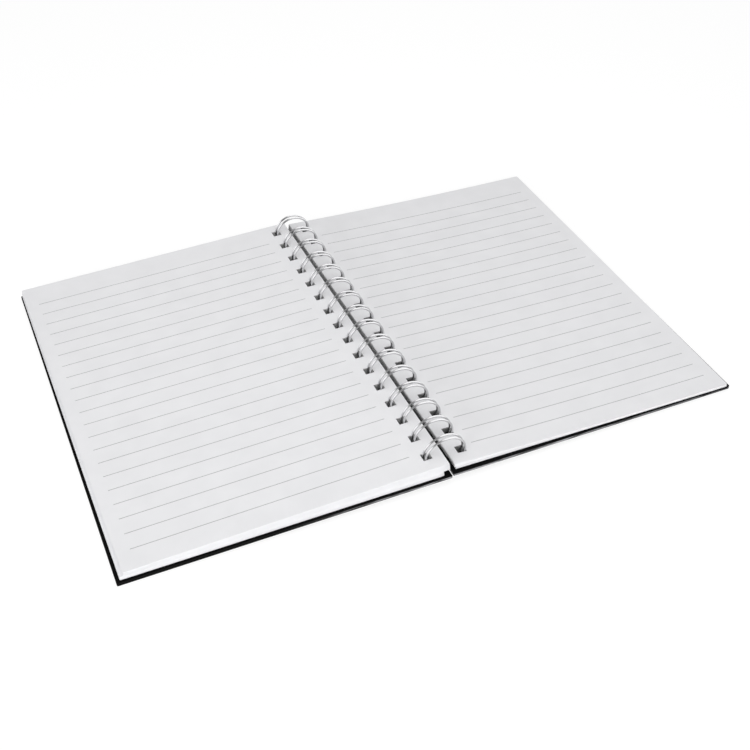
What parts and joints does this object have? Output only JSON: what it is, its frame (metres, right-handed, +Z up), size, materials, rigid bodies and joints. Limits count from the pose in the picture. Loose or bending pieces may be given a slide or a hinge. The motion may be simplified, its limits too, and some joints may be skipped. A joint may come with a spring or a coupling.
{
  "type": "wire-bound notebook",
  "caption": "Hardcover A5 notebook with a twin-loop wire binding, lying open at ruled pages; its covers and both blocks of leaves turn on the rings.",
  "frame": {"origin": "on the table, under the middle of the spine", "axes": "+X across the open spread to the right-hand page, +Y along the spine to the head of the pages, +Z up"},
  "size_m": [0.2968, 0.209, 0.0191],
  "materials": {
    "wire": "polished",
    "cover": "satin",
    "endpaper": "matte",
    "pages": "matte"
  },
  "bodies": {
    "binding": {"wire_binding": "wire", "back_cover": "cover", "back_endpaper": "endpaper"},
    "front": {"front_cover": "cover", "front_endpaper": "endpaper"},
    "left_block": {"left_pages": "pages"},
    "right_block": {"right_pages": "pages"}
  },
  "joints": [
    {"name": "front_cover_turn", "type": "hinge", "parent": "binding", "child": "front", "pos_m": [0, 0, 0.00959], "axis": [0, 1, 0], "range_deg": [0, 183]},
    {"name": "left_pages_turn", "type": "hinge", "parent": "front", "child": "left_block", "pos_m": [0, 0, 0.00959], "axis": [0, 1, 0], "range_deg": [0, 180]},
    {"name": "right_pages_turn", "type": "hinge", "parent": "binding", "child": "right_block", "pos_m": [0, 0, 0.00959], "axis": [0, -1, 0], "range_deg": [0, 180]}
  ]
}
